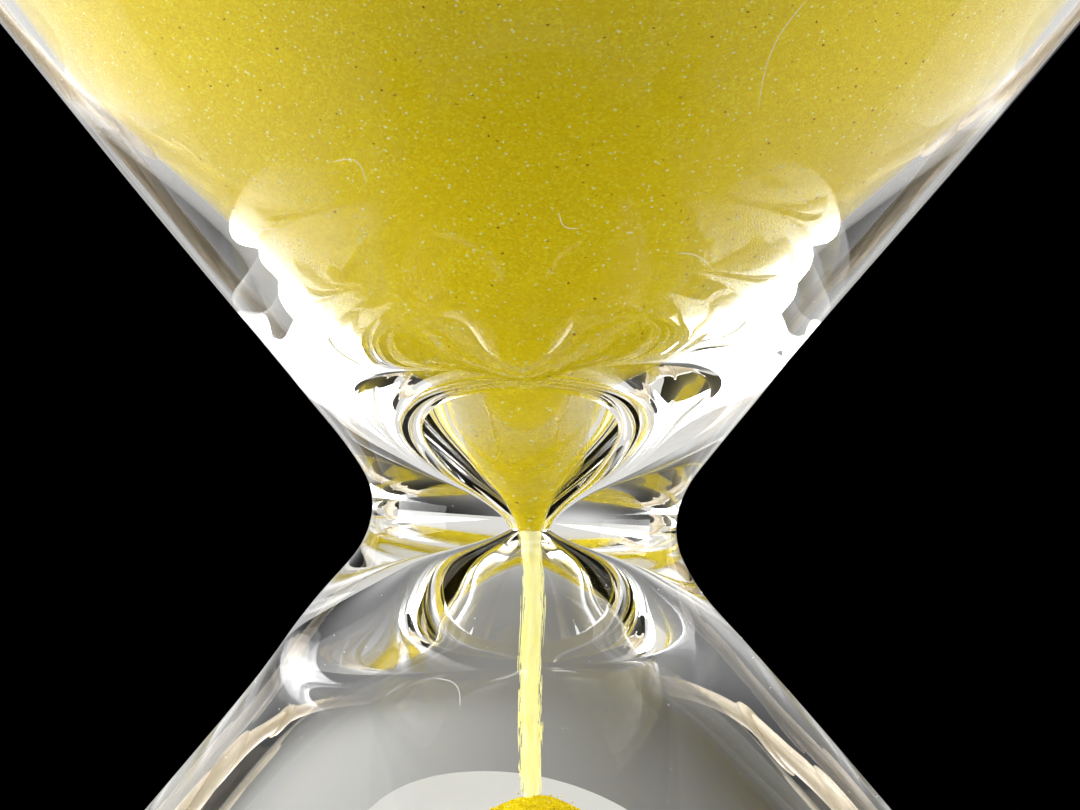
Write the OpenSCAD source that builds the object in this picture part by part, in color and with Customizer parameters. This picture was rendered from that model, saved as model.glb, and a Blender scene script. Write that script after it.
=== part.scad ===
// Turned-wood sand glass: a one-piece blown double bulb with a drawn waist,
// held between two round plates by four turned posts. All sizes in millimetres.
// The origin is the centre of the lower resting face, +Z is up, -Y is the front.

/* [Glass] */
// Outer radius of each round bulb
bulb_r = 30; // [29:0.5:31]
// Angle between the axis and the straight flank that runs into the waist
flank_angle = 40.2; // [39:0.2:42]
// Outer radius at the waist
waist_r = 5.1; // [4.6:0.1:5.8]
// How far the waist stands out from the point where the two flanks would cross
waist_blend = 1; // [0.8:0.1:1.4]
// Glass thickness in the bulbs
wall = 1.1; // [0.9:0.1:1.5]
// Radius of the small hole through the waist
orifice_r = 0.45; // [0.4:0.05:0.6]
// Height of that hole's narrowest point above the outer waist
orifice_z = -0.7; // [-1:0.1:1]
// Radius of the filling hole at the top pole
filler_r = 4; // [3:0.5:5]

/* [Sand] */
// Height above the waist at which the upper sand meets the glass
upper_level = 19; // [12:0.5:20]
// Distance from the waist down to the tip of the lower heap
heap_tip = 9.6; // [8:0.2:16]
// Angle of repose of the dry sand
repose = 32; // [29:1:35]
// Radius of the falling stream
stream_r = 0.4; // [0.3:0.05:0.5]

/* [Frame] */
// Radius of the two round plates
plate_r = 48; // [47:0.5:54]
// Thickness of the plates
plate_t = 12; // [11:0.5:15]
// Distance from the axis to each post
post_pitch_r = 36.5; // [36:0.25:37]
// Radius of the round tenon on each end of a post
tenon_r = 3.5; // [3:0.25:3.5]
// Length of that tenon
tenon_l = 5; // [4:0.5:6]
// Thickness of the felt pads
felt_t = 1.5; // [1:0.25:3]
// Depth of the round recess that takes the end of a bulb
recess_d = 5; // [4.5:0.25:6]
// Gap between the glass and its felt seat, so that the glass can be turned by hand
turn_gap = 0.2; // [0.1:0.05:0.3]

/* [Hidden] */
$fn = 96;
grain_gap = 0.05;
post_clear = 0.1;

tf = tan(flank_angle);
// straight flank, written as radius = flank_0 + tf * height
flank_0 = waist_r - waist_blend;
// bulb centre above the waist, so that the sphere is tangent to the flank
bulb_c = (bulb_r / cos(flank_angle) - flank_0) / tf;
flank_top = bulb_c - bulb_r * sin(flank_angle);
pole = bulb_c + bulb_r;
in_r = bulb_r - wall;
in_0 = flank_0 - wall / cos(flank_angle);
in_top = bulb_c - in_r * sin(flank_angle);

// the plates stand so that the bulbs reach 3.6 mm into their recesses
half_gap = pole - 3.6;
mid_z = felt_t + plate_t + half_gap;
total_h = 2 * mid_z;
recess_r = 17.5;

// ---------- curves ----------

function arc(cx, cy, r, a0, a1, n) =
    [for (i = [0:n]) let (a = a0 + (a1 - a0) * i / n) [cx + r * cos(a), cy + r * sin(a)]];

function reversed(p) = [for (i = [len(p) - 1:-1:0]) p[i]];

function smooth01(x) = let (t = min(1, max(0, x))) t * t * (3 - 2 * t);

// outer radius of the glass at height z from the waist, same above and below
function outer_r(z) = let (a = abs(z))
    a < flank_top ? flank_0 + tf * a + waist_blend * exp(-tf * a / waist_blend)
                  : sqrt(max(0, bulb_r * bulb_r - (a - bulb_c) * (a - bulb_c)));

// how the bore opens on each side of the orifice: distance along the axis, radius
BORE = [[0, orifice_r], [0.8, 0.9], [1.6, 1.5], [2.4, 2.2], [3.2, 3.1], [4, 4.1],
        [4.8, 5.2], [5.6, 6.2], [6.6, 7.4], [8, 8.9], [10, 10.8], [13, 13.5], [17, 16.8], [24, 22.8]];

function cell(x, i = 0) = (i >= len(BORE) - 2 || x < BORE[i + 1][0]) ? i : cell(x, i + 1);
function steep(i) = i == 0 ? 0
    : i == len(BORE) - 1 ? tf
    : (BORE[i + 1][1] - BORE[i - 1][1]) / (BORE[i + 1][0] - BORE[i - 1][0]);
function bore_r(x) = let (i = cell(x), h = BORE[i + 1][0] - BORE[i][0],
                          s = (x - BORE[i][0]) / h, q = s * s, c = q * s)
    (2 * c - 3 * q + 1) * BORE[i][1] + (c - 2 * q + s) * h * steep(i)
    + (3 * q - 2 * c) * BORE[i + 1][1] + (c - q) * h * steep(i + 1);

// inner radius of the glass: the drawn bore runs over into the even bulb wall
function inner_r(z) = let (a = abs(z), x = abs(z - orifice_z), w = smooth01((a - 11) / 9))
    a < in_top ? (1 - w) * (x < 24 ? bore_r(x) : 0) + w * (in_0 + tf * a)
               : sqrt(max(0, in_r * in_r - (a - bulb_c) * (a - bulb_c)));

// heights at which the curved part of the waist is sampled
WAIST_Z = [for (z = [-21.5:1.5:-8]) z, for (z = [-7.2:0.6:7.2]) z, for (z = [8:1.5:21.5]) z];

function bulb_arc(r, a0, n, s) =
    [for (i = [0:n]) let (a = -flank_angle + (a0 + flank_angle) * i / n)
        [r * cos(a), s * (bulb_c + r * sin(a))]];

// closed outline of the glass, from the lower pole up the outside and down the inside
function glass_outline() = concat(
    [[0, -pole]], reversed(bulb_arc(bulb_r, 88, 24, -1)),
    [for (z = WAIST_Z) if (abs(z) < flank_top - 0.4) [outer_r(z), z]],
    bulb_arc(bulb_r, acos(filler_r / bulb_r), 24, 1),
    reversed(bulb_arc(in_r, acos(filler_r / in_r), 24, 1)),
    [for (z = reversed(WAIST_Z)) if (abs(z) < in_top - 0.4) [inner_r(z), z]],
    bulb_arc(in_r, 88, 24, -1), [[0, -(bulb_c + in_r)]]);

// ---------- glass and sand ----------

module glass_bulbs() {
    color([0.86, 0.93, 0.92, 0.45])
    translate([0, 0, mid_z])
        rotate_extrude() polygon(glass_outline());
}

// the heap's flank meets the glass where its radius passes the wall's
function heap_r(a) = (a - heap_tip - 0.05) / tan(repose);
function heap_edge(lo, hi, n = 24) = let (m = (lo + hi) / 2)
    n == 0 ? m : heap_r(m) < inner_r(-m) - grain_gap ? heap_edge(m, hi, n - 1) : heap_edge(lo, m, n - 1);
heap_rim = heap_edge(heap_tip + 1, bulb_c);

module sand_lower() {
    g = grain_gap;
    color([0.90, 0.80, 0.12])
    translate([0, 0, mid_z])
        rotate_extrude() polygon(concat(
            [[0, -heap_tip - 0.4], [0.6, -heap_tip - 0.4], [heap_r(heap_rim), -heap_rim]],
            [for (i = [1:24]) let (a = heap_rim + (bulb_c + (in_r - g) * 0.999 - heap_rim) * i / 24)
                if (a > heap_rim + 0.5 && a < bulb_c) [inner_r(-a) - g, -a]],
            [for (i = [0:24]) let (a = 90 * i / 24) [(in_r - g) * cos(a), -(bulb_c + (in_r - g) * sin(a))]]));
}

module sand_upper() {
    g = grain_gap;
    level_r = inner_r(upper_level) - g;
    crater = upper_level - level_r * tan(repose);
    color([0.90, 0.82, 0.12])
    translate([0, 0, mid_z])
        rotate_extrude() polygon(concat(
            [[0, orifice_z], [orifice_r - g, orifice_z]],
            [for (z = [orifice_z + 0.4:0.6:upper_level - 0.4]) [inner_r(z) - g, z]],
            [[level_r, upper_level], [0.8, crater + 0.5], [0, crater + 0.5]]));
}

module sand_stream() {
    color([0.92, 0.88, 0.40])
    translate([0, 0, mid_z - heap_tip - 0.35])
        cylinder(r = stream_r, h = heap_tip + orifice_z + 0.3, $fn = 48);
}

// soft plug with a thin flange over the filling hole
module filler_plug() {
    color([0.90, 0.88, 0.82])
    translate([0, 0, mid_z])
        rotate_extrude() polygon(concat(
            [[0, pole - 5], [filler_r - 0.7, pole - 5], [filler_r - 0.02, pole - 4.2]],
            [for (i = [0:6]) let (r = filler_r - 0.02 + (filler_r * 0.5) * i / 6)
                [r, bulb_c + sqrt(bulb_r * bulb_r - r * r) + 0.03]],
            [[filler_r * 1.5 - 0.02, pole + 0.4], [filler_r * 1.5 - 0.4, pole + 0.8], [0, pole + 0.8]]));
}

// ---------- frame ----------

// edge moulding of a plate, from its outer face (y = 0) to its inner face (y = plate_t)
function plate_outline() = concat(
    [[0, 0], [plate_r - 1.9, 0], [plate_r - 1.5, 0.4], [plate_r - 1.5, 1.2]],
    arc(plate_r - 2.7, 3.9, 2.7, -85, 85, 14),
    [[plate_r - 2.3, 6.6], [plate_r - 2.3, 7.2]],
    arc(plate_r - 1.6, plate_t - 1.1, 3.3, 245, 180, 9),
    [[plate_r - 4.9, plate_t - 0.4], [plate_r - 5.3, plate_t], [0, plate_t]]);

module at_posts() {
    for (a = [45:90:315]) rotate([0, 0, a]) translate([post_pitch_r, 0, 0]) children();
}

// plate with its outer face down at z = 0
module plate() {
    difference() {
        rotate_extrude($fn = 180) polygon(plate_outline());
        translate([0, 0, plate_t - recess_d]) cylinder(r = recess_r, h = recess_d + 1);
        at_posts() {
            translate([0, 0, plate_t - tenon_l - 0.2]) cylinder(r = tenon_r, h = tenon_l + 1.2, $fn = 48);
            translate([0, 0, -1]) cylinder(r = 1.9, h = plate_t, $fn = 48);
            rotate_extrude($fn = 48) polygon([[0, -1], [4.1, -1], [4.1, 0.5], [1.9, 2.8], [0, 2.8]]);
        }
    }
}

module base_plate() {
    color([0.33, 0.19, 0.10]) translate([0, 0, felt_t]) plate();
}

module top_plate() {
    color([0.33, 0.19, 0.10]) translate([0, 0, total_h - felt_t]) mirror([0, 0, 1]) plate();
}

module felt_pad() {
    r = plate_r - 3;
    rotate_extrude($fn = 120) polygon([[0, 0], [r - 0.3, 0], [r, 0.3], [r, felt_t], [0, felt_t]]);
}

module base_felt_pad() {
    color([0.12, 0.22, 0.15]) felt_pad();
}

module top_felt_pad() {
    color([0.12, 0.22, 0.15]) translate([0, 0, total_h]) mirror([0, 0, 1]) felt_pad();
}

// dished felt ring in the plate's recess, height 0 at the recess floor
module seat_ring() {
    c = recess_d - 3.6 + pole - bulb_c;
    rs = bulb_r + turn_gap;
    r_in = 9;
    r_mid = sqrt(rs * rs - (c - 4.4) * (c - 4.4));
    rotate_extrude() polygon(concat(
        [[r_in, 0], [recess_r - 0.1, 0], [recess_r - 0.1, 4.1], [recess_r - 0.5, 4.4]],
        [for (i = [8:-1:0]) let (r = r_in + (r_mid - r_in) * i / 8) [r, c - sqrt(rs * rs - r * r)]]));
}

module base_seat_ring() {
    color([0.16, 0.26, 0.19]) translate([0, 0, felt_t + plate_t - recess_d]) seat_ring();
}

module top_seat_ring() {
    color([0.16, 0.26, 0.19])
    translate([0, 0, total_h - felt_t - plate_t + recess_d]) mirror([0, 0, 1]) seat_ring();
}

// one half of a turned post: x is the radius, y the distance from the plate
post_h = 2 * half_gap;
vase_0 = 11;
vase_1 = half_gap - 13.5;
function vase_r(s) = 2.75 + 1.45 * pow(sin(180 * pow(s, 0.62)), 1.3);
function half_post() = concat(
    [[4.7, 0], [5, 0.3]], arc(4, 1.5, 1.2, -60, 75, 8), [[3.7, 2.9], [3.7, 3.5]],
    [for (i = [1:7]) let (s = i / 8) [3.7 - 0.8 * sin(180 * s), 3.5 + 3 * s]],
    [[3.7, 6.5], [3.7, 7]], arc(3.3, 8.4, 1.3, -80, 80, 10), [[3.2, 9.9], [3.2, 10.5]],
    [for (i = [0:20]) let (s = i / 20) [vase_r(s) - 0.05 * s, vase_0 + (vase_1 - vase_0) * s]],
    [[3.2, vase_1 + 0.5], [3.2, vase_1 + 1.1]],
    arc(3.1, vase_1 + 2.4, 1.2, -80, 80, 10), [[3, vase_1 + 3.7], [3, vase_1 + 4.3]],
    [for (i = [1:9]) let (s = i / 10) [3 - 0.55 * sin(180 * s) + 0.3 * s, vase_1 + 4.3 + 6 * s]],
    [[3.3, half_gap - 3.1], [3.3, half_gap - 2.6]],
    arc(2.5, half_gap, 2.3, -75, 0, 9));

module post() {
    h = half_post();
    difference() {
        union() {
            rotate_extrude($fn = 60) polygon(concat([[0, 0]], h,
                [for (i = [len(h) - 2:-1:0]) [h[i][0], post_h - h[i][1]]], [[0, post_h]]));
            translate([0, 0, -tenon_l]) cylinder(r = tenon_r - post_clear, h = tenon_l + 1, $fn = 48);
            translate([0, 0, post_h - 1]) cylinder(r = tenon_r - post_clear, h = tenon_l + 1, $fn = 48);
        }
        translate([0, 0, -tenon_l - 1]) cylinder(r = 1.7, h = 19, $fn = 48);
        translate([0, 0, post_h + tenon_l - 18]) cylinder(r = 1.7, h = 19, $fn = 48);
    }
}

module placed_post(a) {
    color([0.80, 0.69, 0.52])
    rotate([0, 0, a]) translate([post_pitch_r, 0, felt_t + plate_t]) post();
}

module post_front_left() { placed_post(225); }
module post_front_right() { placed_post(315); }
module post_back_left() { placed_post(135); }
module post_back_right() { placed_post(45); }

// countersunk wood screw, head up at z = 0, pointing down
module wood_screw(l) {
    difference() {
        rotate_extrude($fn = 48) polygon([[0, 0], [3.8, 0], [3.8, -0.3], [1.65, -2.5],
            [1.65, 2 - l], [0.2, -l], [0, -l]]);
        for (a = [0, 90]) rotate([0, 0, a]) translate([-1.9, -0.35, -1.2]) cube([3.8, 0.7, 2]);
    }
}

module base_post_screws() {
    color([0.72, 0.62, 0.36]) translate([0, 0, felt_t + 0.4]) at_posts() mirror([0, 0, 1]) wood_screw(21);
}

module top_post_screws() {
    color([0.72, 0.62, 0.36]) translate([0, 0, total_h - felt_t - 0.4]) at_posts() wood_screw(21);
}

base_felt_pad();
base_plate();
base_seat_ring();
base_post_screws();
post_front_left();
post_front_right();
post_back_left();
post_back_right();
glass_bulbs();
sand_lower();
sand_stream();
sand_upper();
filler_plug();
top_post_screws();
top_seat_ring();
top_plate();
top_felt_pad();
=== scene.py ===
"""Looks of the hourglass: blown glass, yellow sand, turned wooden stand. Metres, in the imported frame."""
import math
import bpy
import bmesh
import numpy as np
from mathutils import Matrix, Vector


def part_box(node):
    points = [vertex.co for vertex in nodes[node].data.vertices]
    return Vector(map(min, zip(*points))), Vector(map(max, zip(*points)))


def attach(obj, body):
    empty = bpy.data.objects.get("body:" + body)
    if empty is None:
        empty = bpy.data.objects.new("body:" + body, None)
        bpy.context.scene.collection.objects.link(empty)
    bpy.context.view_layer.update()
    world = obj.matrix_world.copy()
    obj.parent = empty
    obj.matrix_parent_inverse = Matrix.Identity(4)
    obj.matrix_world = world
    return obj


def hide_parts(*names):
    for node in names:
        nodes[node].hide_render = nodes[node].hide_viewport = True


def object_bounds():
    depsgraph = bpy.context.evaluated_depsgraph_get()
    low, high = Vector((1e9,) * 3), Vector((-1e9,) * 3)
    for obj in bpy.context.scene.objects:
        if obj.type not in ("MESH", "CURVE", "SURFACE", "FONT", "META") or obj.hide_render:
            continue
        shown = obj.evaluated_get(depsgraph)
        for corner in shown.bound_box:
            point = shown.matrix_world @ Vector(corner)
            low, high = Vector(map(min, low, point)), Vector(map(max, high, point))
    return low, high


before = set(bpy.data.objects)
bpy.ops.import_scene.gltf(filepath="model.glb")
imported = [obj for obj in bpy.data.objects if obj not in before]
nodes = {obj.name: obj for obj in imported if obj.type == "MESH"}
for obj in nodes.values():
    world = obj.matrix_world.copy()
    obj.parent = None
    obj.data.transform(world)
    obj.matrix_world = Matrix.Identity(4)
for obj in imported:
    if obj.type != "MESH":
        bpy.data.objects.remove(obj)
cad_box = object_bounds()
scene = bpy.context.scene
MM = 0.001

# ---------------------------------------------------------------- places from the CAD, in mm
g_lo, g_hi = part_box("glass_bulbs")
MID = (cad_box[0].z + cad_box[1].z) / 2 / MM     # height of the waist
BULB = round(g_hi.x / MM, 1)                      # radius of a bulb
POLE = MID - g_lo.z / MM                          # from the waist to a pole
HEAP_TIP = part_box("sand_lower")[1].z / MM - MID + 0.4
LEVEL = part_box("sand_upper")[1].z / MM - MID

# ---------------------------------------------------------------- glass profile, heights from the waist
FLANK = math.radians(40.2)                        # flank of each bulb from the axis
TF, CF, SF = math.tan(FLANK), math.cos(FLANK), math.sin(FLANK)
WALL = 1.0
BULB_C = POLE - BULB
IN_R = BULB - WALL
OUT_TOP, IN_TOP = BULB_C - BULB * SF, BULB_C - IN_R * SF
ORIFICE_Z, ORIFICE_R = -0.7, 0.45
FILL_R = 4.0
GAP = 0.05


def spline(x, y):
    """Natural cubic spline through the points (x, y)."""
    x, y = np.array(x, float), np.array(y, float)
    n, h = len(x), np.diff(x)
    a, b = np.zeros((n, n)), np.zeros(n)
    a[0, 0] = a[-1, -1] = 1
    for i in range(1, n - 1):
        a[i, i - 1], a[i, i], a[i, i + 1] = h[i - 1], 2 * (h[i - 1] + h[i]), h[i]
        b[i] = 3 * ((y[i + 1] - y[i]) / h[i] - (y[i] - y[i - 1]) / h[i - 1])
    c = np.linalg.solve(a, b)

    def f(t):
        t = np.clip(np.asarray(t, float), x[0], x[-1])
        i = np.clip(np.searchsorted(x, t) - 1, 0, n - 2)
        d = t - x[i]
        return (y[i] + ((y[i + 1] - y[i]) / h[i] - h[i] * (2 * c[i] + c[i + 1]) / 3) * d
                + c[i] * d * d + (c[i + 1] - c[i]) / (3 * h[i]) * d ** 3)
    return f


def flank(r, a):
    """Radius of the straight flank tangent to a sphere of radius r."""
    return r / CF - (BULB_C - a) * TF


# outside of the drawn waist: height from the waist, radius
NECK = [(0, 5.1), (0.7, 5.2), (1.2, 5.4), (1.7, 5.72), (2.2, 6.09), (2.7, 6.48), (3.2, 6.89), (3.7, 7.31),
        (4.7, 8.12), (5.7, 8.95), (7.2, 10.23), (8.7, 11.51), (10.2, 12.79), (12.2, 14.48), (15.2, 16.97),
        (18.6, flank(BULB, 18.6)), (22.2, flank(BULB, 22.2))]
neck = spline([-p[0] for p in NECK[:0:-1]] + [p[0] for p in NECK], [p[1] for p in NECK[:0:-1]] + [p[1] for p in NECK])
# steepness of the bore, by distance from the orifice: (mm, degrees from the axis)
BORE_UP = [(0, 8), (0.5, 16), (1, 25), (1.6, 33), (2.2, 39), (3, 44), (4.2, 51.5), (5.2, 53.5), (6.5, 50), (8, 47.5),
           (10, 46.5), (12, 45), (14, 42.5), (16, 40), (20, 38), (24, 37)]
BORE_DOWN = [(0, 30), (0.5, 44), (1, 48), (1.8, 49), (2.6, 48), (3.4, 50), (4.2, 51.5), (5.2, 48), (6.5, 43), (9, 40),
             (12, 39.5), (15, 39.5), (20, 39.5), (24, 39)]
ZZ = np.linspace(0, 24, 4801)


def bore(steep):
    t = np.tan(np.radians(spline([p[0] for p in steep], [p[1] for p in steep])(ZZ)))
    return ORIFICE_R + np.concatenate([[0], np.cumsum((t[1:] + t[:-1]) / 2 * np.diff(ZZ))])


BORE = {True: bore(BORE_UP), False: bore(BORE_DOWN)}


def outer_r(z):
    a = abs(z)
    return math.sqrt(max(0.0, BULB ** 2 - (a - BULB_C) ** 2)) if a > OUT_TOP else float(neck(a))


def inner_r(z):
    a = abs(z)
    if a > IN_TOP:
        return math.sqrt(max(0.0, IN_R ** 2 - (a - BULB_C) ** 2))
    w = min(1.0, max(0.0, (a - 13) / 7))
    w = w * w * (3 - 2 * w)
    return (1 - w) * float(np.interp(abs(z - ORIFICE_Z), ZZ, BORE[z >= ORIFICE_Z])) + w * flank(IN_R, a)


# a hand-blown waist isn't quite straight: sideways drift of the outside and of the bore, by height
drift_out = spline([-45, -20, -9, -4.2, -2.7, -1, 0, 2, 4, 9, 16, 28, 45],
                   [0, -0.5, -0.73, -0.87, -0.97, -0.7, -0.52, -0.25, -0.22, -0.17, 0, 0, 0])
drift_in = spline([-45, -20, -9, -4, -0.7, 1, 4, 9, 16, 28, 45],
                  [0, -0.48, -0.70, -0.68, -0.42, -0.41, -0.33, -0.17, 0, 0, 0])


def link(o):
    scene.collection.objects.link(o)
    return o


def revolve(name, profile, seg=256, smooth=True):
    """A solid of revolution about the glass axis. profile: (radius, height, sideways drift); both ends on the axis."""
    ang = 2 * np.pi * np.arange(seg) / seg
    ring, verts, start = [], [], 0
    for r, z, dx in profile:
        if r < 1e-6:
            verts.append(np.array([[dx, 0, z + MID]]))
            ring.append((start, 1))
            start += 1
        else:
            verts.append(np.stack([r * np.cos(ang) + dx, r * np.sin(ang), np.full(seg, z + MID)], 1))
            ring.append((start, seg))
            start += seg
    faces = []
    for (a, na), (b, nb) in zip(ring, ring[1:]):
        for k in range(seg):
            l = (k + 1) % seg
            if na == 1:
                faces.append((a, b + k, b + l))
            elif nb == 1:
                faces.append((a + k, b, a + l))
            else:
                faces.append((a + k, b + k, b + l, a + l))
    me = bpy.data.meshes.new(name)
    me.from_pydata((np.concatenate(verts) * MM).tolist(), [], faces)
    bm = bmesh.new()
    bm.from_mesh(me)
    bmesh.ops.recalc_face_normals(bm, faces=bm.faces)
    bm.to_mesh(me)
    bm.free()
    me.polygons.foreach_set("use_smooth", [smooth] * len(me.polygons))
    return link(bpy.data.objects.new(name, me))


fine = np.concatenate([np.arange(0, 8, 0.06), np.arange(8, 23, 0.3)])
HEIGHTS = np.concatenate([-fine[:0:-1], fine])


def sphere_part(r, lowest, highest, n):
    """Heights and radii on the bulb's sphere between two angles above its equator, in degrees."""
    t = np.radians(np.linspace(lowest, highest, n))
    return r * np.cos(t), BULB_C + r * np.sin(t)


def wall_path(r, hole, rad, drift, top):
    """From the lower pole up the wall to the rim of the filling hole."""
    x, z = sphere_part(r, -40.2, 90, 110)
    path = [(0.0 if i == 0 else float(x[::-1][i]), -float(z[::-1][i])) for i in range(len(x))]
    path += [(rad(v), float(v)) for v in HEIGHTS if abs(v) < top - 0.25]
    x, z = sphere_part(r, -40.2, math.degrees(math.acos(hole / r)), 100)
    path += [(float(a), float(b)) for a, b in zip(x, z)]
    return [(a, b, float(drift(b))) for a, b in path]


inside = wall_path(IN_R, FILL_R, inner_r, drift_in, IN_TOP)
outside = wall_path(BULB, FILL_R, outer_r, drift_out, OUT_TOP)
glass = revolve("glass_bulbs_fine", inside + outside[::-1], 288)

# ---------------------------------------------------------------- sand
REPOSE = math.tan(math.radians(32))
up_z = np.concatenate([np.arange(ORIFICE_Z, 8, 0.08), np.arange(8, LEVEL, 0.3)])
level_r = inner_r(LEVEL) - GAP
upper = [(0.0, ORIFICE_Z, float(drift_in(ORIFICE_Z)))]
upper += [(max(0.05, inner_r(z) - GAP), float(z), float(drift_in(z))) for z in up_z]
upper += [(level_r * k, LEVEL - 0.02 - level_r * (1 - k) * REPOSE, float(drift_in(LEVEL))) for k in (1, 0.97, 0.9, 0.75, 0.5, 0.25, 0.1, 0.04)]
upper += [(0.0, LEVEL - level_r * REPOSE + 0.35, float(drift_in(LEVEL)))]
sand_up = revolve("sand_upper_fine", upper, 256)

# lower heap: a cone at the angle of repose with a round tip under the stream
HEAP_TOP = HEAP_TIP - 0.3


def heap_z(r):
    return HEAP_TOP + 0.6 - math.sqrt((r * REPOSE) ** 2 + 0.36)


def heap_dx(r):
    return -0.1 - 0.35 * min(1.0, r / 8)


rim = next(r for r in np.arange(2, BULB, 0.02) if r > inner_r(heap_z(r)) - GAP)
lower = [(0.0, HEAP_TOP, heap_dx(0))]
lower += [(float(r), heap_z(r), heap_dx(r)) for r in np.concatenate([np.arange(0.1, 3, 0.1), np.arange(3, rim - 0.3, 0.3)])]
lower += [(inner_r(z) - GAP, float(z), float(drift_in(z))) for z in np.arange(heap_z(rim), -IN_TOP + 0.3, -0.4)]
x, z = sphere_part(IN_R - GAP, -40.2, 90, 90)
lower += [(0.0 if i == len(x) - 1 else float(x[i]), -float(z[i]), float(drift_in(-z[i]))) for i in range(len(x))]
sand_low = revolve("sand_lower_fine", lower, 256)


def many(name, shapes, smooth=True):
    """One mesh out of many small closed shapes, each (points, faces)."""
    verts, faces, start = [], [], 0
    for p, f in shapes:
        verts.append(p)
        faces += [tuple(i + start for i in q) for q in f]
        start += len(p)
    me = bpy.data.meshes.new(name)
    me.from_pydata((np.concatenate(verts) * MM).tolist(), [], faces)
    me.polygons.foreach_set("use_smooth", [smooth] * len(me.polygons))
    return link(bpy.data.objects.new(name, me))


bm = bmesh.new()
bmesh.ops.create_icosphere(bm, subdivisions=1, radius=1.0)
ICO = np.array([v.co for v in bm.verts], float)
ICO_FACES = [tuple(v.index for v in f.verts) for f in bm.faces]
bm.free()
rng = np.random.default_rng(7)


def grain(centre, size):
    """A sand grain: a small uneven pebble."""
    stretch = size * rng.uniform(0.75, 1.2, 3)
    return ICO * stretch * rng.uniform(0.85, 1.15, (len(ICO), 1)) + np.array(centre), ICO_FACES


# loose grains on the tip of the heap, and a few that bounce off it
shapes = []
for i in range(2600):
    r, t = 2.8 * math.sqrt(rng.uniform(0, 1)), rng.uniform(0, 2 * math.pi)
    shapes.append(grain((r * math.cos(t) + heap_dx(r), r * math.sin(t), heap_z(r) + MID + rng.uniform(-0.01, 0.035)), 0.042))
for i in range(26):
    r, t = rng.uniform(0.35, 1.6), rng.uniform(0, 2 * math.pi)
    shapes.append(grain((r * math.cos(t) - 0.1, r * math.sin(t), heap_z(r) + MID + rng.uniform(0.05, 0.5) * math.exp(-r)), 0.036))
heap_grains = many("sand_heap_grains", shapes, False)


# the falling stream: a thin dense core in a veil of grains drawn out by their fall
def stream_x(z):
    return -0.4 + 0.1 * (ORIFICE_Z - z) / 8.6


def core_r(z):
    d = ORIFICE_Z - z
    return 0.38 - 0.13 * min(1.0, d / 1.5) + 0.006 * math.sin(5 * d) + 0.004 * math.sin(13 * d + 1)


zs = np.linspace(ORIFICE_Z - 0.02, HEAP_TOP - 0.1, 110)
core = [(0.0, float(zs[0]), stream_x(zs[0]))] + [(core_r(z), float(z), stream_x(z)) for z in zs] + [(0.0, float(zs[-1]), stream_x(zs[-1]))]
sand_fall = revolve("sand_stream_core", core, 32)
SIDES = 5
shapes = []
for i in range(2600):
    length, thick = rng.uniform(0.25, 0.9), rng.uniform(0.008, 0.018)
    top = rng.uniform(HEAP_TOP + length, ORIFICE_Z - 0.1)
    rho, t = min(0.42, abs(rng.normal(0.22, 0.09))), rng.uniform(0, 2 * math.pi)
    pts = [(stream_x(top) + rho * math.cos(t), rho * math.sin(t), top + MID)]
    for k, w in ((0.12, 0.7), (0.5, 1.0), (0.88, 0.6)):
        z = top - k * length
        for j in range(SIDES):
            u = 2 * math.pi * j / SIDES
            pts.append((stream_x(z) + rho * math.cos(t) + w * thick * math.cos(u), rho * math.sin(t) + w * thick * math.sin(u), z + MID))
    z = top - length
    pts.append((stream_x(z) + rho * math.cos(t), rho * math.sin(t), z + MID))
    f = [(0, 1 + (j + 1) % SIDES, 1 + j)[::-1] for j in range(SIDES)]
    for ring in (0, 1):
        o = 1 + ring * SIDES
        f += [(o + j, o + SIDES + j, o + SIDES + (j + 1) % SIDES, o + (j + 1) % SIDES) for j in range(SIDES)]
    o = 1 + 2 * SIDES
    f += [(o + j, len(pts) - 1, o + (j + 1) % SIDES) for j in range(SIDES)]
    shapes.append((np.array(pts), f))
veil = many("sand_stream_veil", shapes)


# ---------------------------------------------------------------- dust and lint on the glass
def on_glass(x, z, back=False):
    """Point of the outer surface that faces the front at x, z in mm from the middle of the waist."""
    r, c = outer_r(z), float(drift_out(z))
    y = math.sqrt(max(0.0, r * r - (x - c) ** 2))
    return np.array([x, y if back else -y, z + MID])


def lint(points, thick):
    """A thin curved thread through the points."""
    p = np.array(points, float)
    pts, f = [], []
    for i, q in enumerate(p):
        d = p[min(i + 1, len(p) - 1)] - p[max(i - 1, 0)]
        d /= np.linalg.norm(d)
        a = np.cross(d, (0.3, 1.0, 0.2))
        a /= np.linalg.norm(a)
        b = np.cross(d, a)
        w = thick * (0.3 if i in (0, len(p) - 1) else 1.0)
        pts += [q + w * (a * math.cos(u) + b * math.sin(u)) for u in (0, math.pi / 2, math.pi, 3 * math.pi / 2)]
    for i in range(len(p) - 1):
        f += [(4 * i + j, 4 * i + (j + 1) % 4, 4 * i + 4 + (j + 1) % 4, 4 * i + 4 + j) for j in range(4)]
    f += [(3, 2, 1, 0), tuple(4 * (len(p) - 1) + j for j in range(4))]
    return np.array(pts), f


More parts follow.
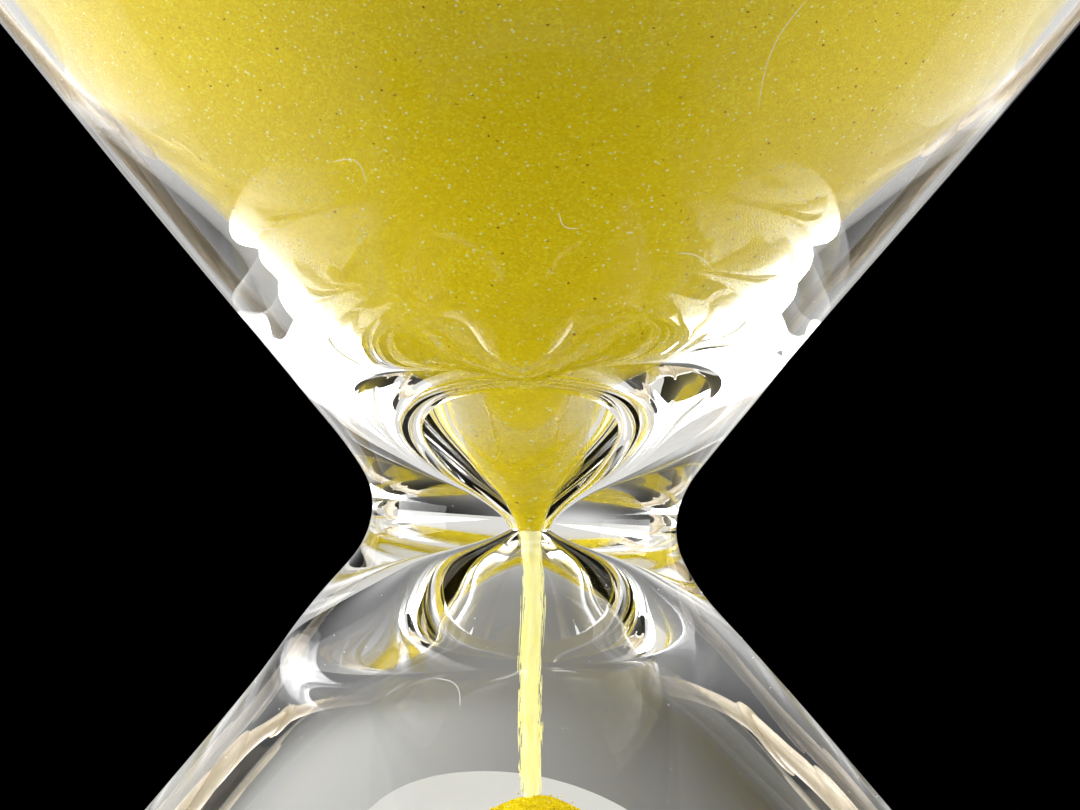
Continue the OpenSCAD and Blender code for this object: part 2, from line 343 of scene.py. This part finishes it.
shapes = []
for i in range(420):
    z = rng.uniform(-34, 34) if i % 3 else rng.uniform(-10, 17)
    t = rng.uniform(0, 2 * math.pi)
    r = outer_r(z)
    shapes.append(grain((r * math.cos(t) + float(drift_out(z)), r * math.sin(t), z + MID), rng.uniform(0.010, 0.024)))
for i in range(70):   # a dustier patch high on the left
    z = rng.uniform(12.5, 17.5)
    x = -outer_r(z) * rng.uniform(0.93, 0.998)
    shapes.append(grain(on_glass(x, z), rng.uniform(0.010, 0.022)))
for x0, z0, dx, dz, bend in ((-6.7, 11.5, 1.1, -0.7, 0.35), (7.0, 13.2, 1.5, 3.4, 0.1), (0.6, 9.9, 0.7, -0.5, -0.3),
                             (-9.4, 8.9, 0.9, 0.5, 0.25), (4.4, 8.6, 1.2, -0.5, 0.15), (-3.4, -5.2, 0.8, -0.9, 0.3)):
    line = []
    for k in np.linspace(0, 1, 9):
        x, z = x0 + dx * k - bend * dz * math.sin(math.pi * k), z0 + dz * k + bend * dx * math.sin(math.pi * k)
        line.append(on_glass(x, z) + np.array([0, -0.008, 0]))
    shapes.append(lint(line, 0.009))
dust = many("dust_on_glass", shapes)


# ---------------------------------------------------------------- materials
class Nodes:
    """Short hand for building a shader."""

    def __init__(self, name):
        self.mat = bpy.data.materials.new(name)
        self.mat.use_nodes = True
        self.t = self.mat.node_tree
        self.bsdf = self.t.nodes["Principled BSDF"]

    def new(self, kind, **values):
        n = self.t.nodes.new(kind)
        for k, v in values.items():
            setattr(n, k, v)
        return n

    def put(self, socket, value):
        if isinstance(value, bpy.types.NodeSocket):
            self.t.links.new(value, socket)
        else:
            socket.default_value = value

    def coords(self, scale=(1, 1, 1), turn=(0, 0, 0)):
        c, m = self.new("ShaderNodeTexCoord"), self.new("ShaderNodeMapping")
        self.t.links.new(c.outputs["Object"], m.inputs["Vector"])
        m.inputs["Scale"].default_value = scale
        m.inputs["Rotation"].default_value = turn
        return m.outputs[0]

    def noise(self, at, scale, detail=3, rough=0.5, distortion=0.0, out="Fac"):
        n = self.new("ShaderNodeTexNoise")
        self.put(n.inputs["Vector"], at)
        self.put(n.inputs["Scale"], scale)
        self.put(n.inputs["Detail"], detail)
        self.put(n.inputs["Roughness"], rough)
        self.put(n.inputs["Distortion"], distortion)
        return n.outputs[out]

    def cells(self, at, scale, feature="F1", out="Color"):
        n = self.new("ShaderNodeTexVoronoi", feature=feature)
        self.put(n.inputs["Vector"], at)
        self.put(n.inputs["Scale"], scale)
        return n.outputs[out]

    def ramp(self, x, stops):
        n = self.new("ShaderNodeValToRGB")
        self.put(n.inputs[0], x)
        r = n.color_ramp
        while len(r.elements) < len(stops):
            r.elements.new(0.5)
        for e, (p, c) in zip(r.elements, stops):
            e.position, e.color = p, (c, c, c, 1) if isinstance(c, (int, float)) else (*c, 1)
        return n.outputs[0]

    def mix(self, f, a, b, mode="MIX"):
        n = self.new("ShaderNodeMix", data_type="RGBA", blend_type=mode)
        self.put(n.inputs[0], f)
        for s, v in ((n.inputs[6], a), (n.inputs[7], b)):
            self.put(s, v if isinstance(v, bpy.types.NodeSocket) else (*v, 1))
        return n.outputs[2]

    def math(self, op, *values):
        n = self.new("ShaderNodeMath", operation=op)
        for s, v in zip(n.inputs, values):
            self.put(s, v)
        return n.outputs[0]

    def bump(self, height, strength, distance, on=None):
        n = self.new("ShaderNodeBump")
        self.put(n.inputs["Height"], height)
        self.put(n.inputs["Strength"], strength)
        self.put(n.inputs["Distance"], distance)
        if on is not None:
            self.put(n.inputs["Normal"], on)
        return n.outputs[0]

    def done(self, **sockets):
        for k, v in sockets.items():
            self.put(self.bsdf.inputs[k.replace("_", " ")], v)
        return self.mat


def glass_material():
    m = Nodes("clear_glass_blown")
    at = m.coords()
    swirl = m.noise(at, 60, 2, 0.4)
    return m.done(Base_Color=m.mix(m.ramp(swirl, [(0.3, 0.0), (0.7, 1.0)]), (0.985, 0.995, 0.99), (1.0, 1.0, 1.0)),
                  Roughness=0.0, IOR=1.5, Transmission_Weight=1.0, Specular_Tint=(0.25, 0.25, 0.25, 1))


def sand_material(name, tone=1.0):
    """Dyed quartz sand: fine grains in close shades of yellow, a few glints painted as paler, brighter grains that are
    also glossier, and a few dark specks.
    """
    m = Nodes(name)
    at = m.coords()
    grain = 12500
    pick = m.new("ShaderNodeSeparateColor")
    m.put(pick.inputs[0], m.cells(at, grain, out="Color"))
    body = m.ramp(pick.outputs[0], [(0.0, (0.84 * tone, 0.64 * tone, 0.003)), (0.5, (0.91 * tone, 0.72 * tone, 0.004)),
                                    (0.85, (0.94 * tone, 0.77 * tone, 0.008)), (1.0, (0.97 * tone, 0.85 * tone, 0.05))])
    cloud = m.noise(at, 350, 3)
    body = m.mix(m.ramp(cloud, [(0.35, 0.0), (0.65, 0.3)]), body, (0.87 * tone, 0.66 * tone, 0.003))
    # painted highlight: a few grains get a brighter, paler base colour that stands in for glints; they also get a lower
    # roughness for real gloss
    painted_glint_and_gloss = m.ramp(pick.outputs[1], [(0.982, 0.0), (0.99, 1.0)])
    body = m.mix(painted_glint_and_gloss, body, (1.0, 0.98, 0.45))
    dark = m.ramp(pick.outputs[2], [(0.9975, 0.0), (0.9985, 1.0)])
    body = m.mix(dark, body, (0.30, 0.08, 0.01))
    dome = m.math("SUBTRACT", 1.0, m.math("MULTIPLY", m.cells(at, grain, out="Distance"), 1.6))
    return m.done(Base_Color=body, Roughness=m.ramp(painted_glint_and_gloss, [(0.0, 0.8), (1.0, 0.3)]), Specular_IOR_Level=0.08,
                  Normal=m.bump(dome, 0.55, 0.00003))


def dust_material():
    m = Nodes("dust_pale_lint")
    tone = m.mix(m.noise(m.coords(), 3000, 2), (0.75, 0.75, 0.72), (0.92, 0.92, 0.90))
    return m.done(Base_Color=tone, Roughness=m.ramp(m.noise(m.coords(), 900, 2), [(0.3, 0.6), (0.7, 0.9)]))


def falling_material():
    """Falling sand: a paler, softer thread than the resting sand, streaked along its fall, and brightened by a faint
    painted glow.
    """
    m = Nodes("sand_falling_pale_painted_glow")
    at = m.coords(scale=(1, 1, 0.12))
    streak = m.noise(at, 9000, 3, 0.6)
    tone = m.mix(m.ramp(streak, [(0.3, 0.0), (0.7, 1.0)]), (1.0, 0.96, 0.36), (1.0, 1.0, 0.72))
    # painted glow: a faint emission brightens the falling sand, though it is no lamp
    return m.done(Base_Color=tone, Roughness=m.ramp(streak, [(0.3, 0.6), (0.7, 0.9)]), Emission_Color=(1.0, 0.96, 0.42, 1),
                  Emission_Strength=0.14, Normal=m.bump(streak, 0.4, 0.00003))


def wood_material(name, along, dark, light, scale=1.0):
    """Turned wood: long grain on one axis, growth bands across it, pores, and fine rings left by the lathe."""
    m = Nodes(name)
    s = {"x": (0.06, 1, 1), "z": (1, 1, 0.06)}[along]
    at = m.coords(scale=s)
    warp = m.noise(at, 40 * scale, 3, 0.5)
    bands = m.new("ShaderNodeTexWave", wave_type="BANDS", bands_direction="Y", wave_profile="SAW")
    m.put(bands.inputs["Vector"], at)
    m.put(bands.inputs["Scale"], 55 * scale)
    m.put(bands.inputs["Distortion"], 9.0)
    m.put(bands.inputs["Detail"], 3.0)
    m.put(bands.inputs["Detail Scale"], 0.9)
    streak = m.noise(at, 900 * scale, 4, 0.6)
    pores = m.ramp(m.noise(at, 2600 * scale, 2, 0.5), [(0.30, 0.0), (0.42, 1.0)])
    tone = m.mix(m.ramp(bands.outputs[0], [(0.0, 0.0), (0.75, 0.55), (1.0, 1.0)]), light, dark)
    tone = m.mix(m.ramp(streak, [(0.3, 0.0), (0.75, 0.6)]), tone, tuple(c * 0.72 for c in dark))
    tone = m.mix(m.ramp(warp, [(0.35, 0.0), (0.7, 0.35)]), tone, tuple(min(1, c * 1.25) for c in light))
    tone = m.mix(m.math("MULTIPLY", m.math("SUBTRACT", 1.0, pores), 0.55), tone, tuple(c * 0.4 for c in dark))
    rough = m.ramp(streak, [(0.2, 0.34), (0.8, 0.5)])
    n = m.bump(pores, 0.35, 0.00008)
    n = m.bump(m.noise(m.coords(scale=(1, 1, 14) if along == "z" else (14, 14, 1)), 220, 2), 0.06, 0.0002, n)
    return m.done(Base_Color=tone, Roughness=rough, Coat_Weight=0.12, Coat_Roughness=0.3, Normal=n)


def felt_material(name, a, b):
    m = Nodes(name)
    at = m.coords()
    fibre = m.noise(at, 2200, 5, 0.7, 1.5)
    tone = m.mix(fibre, a, b)
    tone = m.mix(m.ramp(m.noise(at, 160, 2), [(0.35, 0.0), (0.7, 0.4)]), tone, tuple(c * 0.75 for c in a))
    return m.done(Base_Color=tone, Roughness=0.95, Sheen_Weight=0.5, Sheen_Roughness=0.5,
                  Normal=m.bump(fibre, 0.7, 0.0003))


def brass_material():
    m = Nodes("brass_screw_worn")
    at = m.coords()
    tone = m.mix(m.noise(at, 500, 4), (0.80, 0.58, 0.25), (0.62, 0.42, 0.16))
    scratch = m.noise(m.coords(scale=(1, 12, 1)), 900, 3)
    return m.done(Base_Color=tone, Metallic=1.0, Roughness=m.ramp(scratch, [(0.3, 0.22), (0.7, 0.42)]),
                  Normal=m.bump(scratch, 0.15, 0.00005))


def plug_material():
    m = Nodes("plug_rubber_soft")
    at = m.coords()
    tone = m.mix(m.noise(at, 300, 4), (0.80, 0.78, 0.70), (0.70, 0.67, 0.58))
    return m.done(Base_Color=tone, Roughness=m.ramp(m.noise(at, 1200, 3), [(0.3, 0.45), (0.7, 0.6)]),
                  Normal=m.bump(m.noise(at, 2500, 3), 0.2, 0.00008))


def dress(o, mat):
    o.data.materials.clear()
    o.data.materials.append(mat)


WOOD_DARK, WOOD_LIGHT = (0.055, 0.026, 0.014), (0.17, 0.085, 0.042)
plate_wood = wood_material("turned_wood_plate", "x", WOOD_DARK, WOOD_LIGHT)
post_wood = wood_material("turned_wood_post", "z", (0.62, 0.50, 0.36), (0.86, 0.77, 0.64))
felt = felt_material("felt_wool_pad", (0.10, 0.17, 0.12), (0.17, 0.26, 0.19))
felt_seat = felt_material("felt_wool_ring", (0.42, 0.38, 0.31), (0.55, 0.50, 0.42))
for name in ("base_plate", "top_plate"):
    dress(nodes[name], plate_wood)
for name in ("post_front_left", "post_front_right", "post_back_left", "post_back_right"):
    dress(nodes[name], post_wood)
for name in ("base_felt_pad", "top_felt_pad"):
    dress(nodes[name], felt)
for name in ("base_seat_ring", "top_seat_ring"):
    dress(nodes[name], felt_seat)
for name in ("base_post_screws", "top_post_screws"):
    dress(nodes[name], brass_material())
dress(nodes["filler_plug"], plug_material())
dress(glass, glass_material())
grain_mat = sand_material("sand_yellow_grain")
dress(sand_up, grain_mat)
dress(sand_low, grain_mat)
dress(heap_grains, grain_mat)
falling = falling_material()
dress(sand_fall, falling)
dress(veil, falling)
dress(dust, dust_material())

for piece, node, slot in ((glass, "glass_bulbs", "clear_glass"), (sand_up, "sand_upper", "sand"),
                          (sand_low, "sand_lower", "sand"), (sand_fall, "sand_stream", "falling_sand")):
    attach(piece, "glass")
    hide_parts(node)
for piece, slot in ((heap_grains, "sand"), (veil, "falling_sand")):
    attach(piece, "glass")
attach(dust, "glass")

# ---------------------------------------------------------------- floor, camera, light
bm = bmesh.new()
bmesh.ops.create_circle(bm, cap_ends=True, cap_tris=False, segments=96, radius=1.8)
me = bpy.data.meshes.new("floor")
bm.to_mesh(me)
bm.free()
floor = link(bpy.data.objects.new("floor", me))
m = Nodes("floor_pale")
dress(floor, m.done(Base_Color=m.mix(m.noise(m.coords(), 12, 4), (0.68, 0.67, 0.64), (0.72, 0.71, 0.68)), Roughness=0.8))

cam = bpy.data.cameras.new("camera")
camera = link(bpy.data.objects.new("camera", cam))
scene.camera = camera
cam.sensor_width, cam.lens = 36.0, 350.0
cam.clip_start, cam.clip_end = 0.01, 20.0
camera.location = (0.0, -0.35, (MID + 3.7) * MM)
camera.rotation_euler = (math.radians(90), 0, 0)

# soft light panels: centre in metres, turn in degrees, width, height, radiance
PANELS = [((-0.60, -0.05, 0.20), (90, 0, -90), 0.55, 0.40, 12.0), ((0.60, -0.05, 0.20), (90, 0, 90), 0.55, 0.40, 8.0)]
# low ones behind, stepped so that their reflection in the glass ends softly
for near, left, right in ((0.062, 0.4, 0.35), (0.075, 0.5, 0.4), (0.089, 0.6, 0.5), (0.105, 0.8, 0.7),
                          (0.124, 1.0, 0.9), (0.148, 1.4, 1.2), (0.180, 1.8, 1.6)):
    for side, glow in ((-1, left), (1, right)):
        PANELS.append(((side * 0.150, (near + 0.66) / 2, 0.004), (180, 0, 0), 0.12, 0.66 - near, glow))
kept_dark = bpy.data.collections.new("all_but_the_floor")
kept_dark.objects.link(floor)
kept_dark.collection_objects[0].light_linking.link_state = "EXCLUDE"
for place, turn, wide, high, glow in PANELS:
    light = bpy.data.lights.new("soft_box", "AREA")
    light.shape, light.size, light.size_y = "RECTANGLE", wide, high
    light.energy = glow * math.pi * wide * high
    o = link(bpy.data.objects.new("soft_box", light))
    o.location = place
    o.rotation_euler = [math.radians(t) for t in turn]
    o.visible_camera = False
    o.light_linking.receiver_collection = kept_dark

# soft studio: directions (azimuth from behind the object, elevation), width, strength
LOBES = [(0, 90, 12, 4.0), (180, 35, 6, 1.3), (0, 35, 12, 0.3), (-130, 50, 8, 1.4), (-14, -2, 30, 0.7)]
world = bpy.data.worlds.new("studio")
scene.world = world
world.use_nodes = True
wt = world.node_tree
wt.nodes.clear()


def wnode(kind, links=(), **values):
    n = wt.nodes.new(kind)
    for k, v in values.items():
        setattr(n, k, v)
    for i, v in enumerate(links):
        if v is None:
            continue
        if isinstance(v, bpy.types.NodeSocket):
            wt.links.new(v, n.inputs[i])
        else:
            n.inputs[i].default_value = v
    return n


direction = wnode("ShaderNodeTexCoord").outputs["Generated"]
total = None
for az, el, sharp, power in LOBES:
    a, e = math.radians(az), math.radians(el)
    d = (math.sin(a) * math.cos(e), math.cos(a) * math.cos(e), math.sin(e))
    dot = wnode("ShaderNodeVectorMath", (direction, d), operation="DOT_PRODUCT").outputs["Value"]
    fall = wnode("ShaderNodeMath", (dot, 1.0), operation="SUBTRACT").outputs[0]
    fall = wnode("ShaderNodeMath", (fall, float(sharp)), operation="MULTIPLY").outputs[0]
    fall = wnode("ShaderNodeMath", (fall,), operation="EXPONENT").outputs[0]
    fall = wnode("ShaderNodeMath", (fall, float(power)), operation="MULTIPLY").outputs[0]
    total = fall if total is None else wnode("ShaderNodeMath", (total, fall), operation="ADD").outputs[0]
studio = wnode("ShaderNodeBackground", (total, 1.0))
black = wnode("ShaderNodeBackground", ((0.0, 0.0, 0.0, 1.0), 1.0))
seen = wnode("ShaderNodeLightPath").outputs["Is Camera Ray"]
both = wnode("ShaderNodeMixShader", (seen, studio.outputs[0], black.outputs[0]))
wnode("ShaderNodeOutputWorld", (both.outputs[0],))

scene.view_settings.view_transform = "Standard"
scene.cycles.max_bounces = 24
scene.cycles.transmission_bounces = 24
scene.cycles.glossy_bounces = 16
scene.cycles.diffuse_bounces = 4
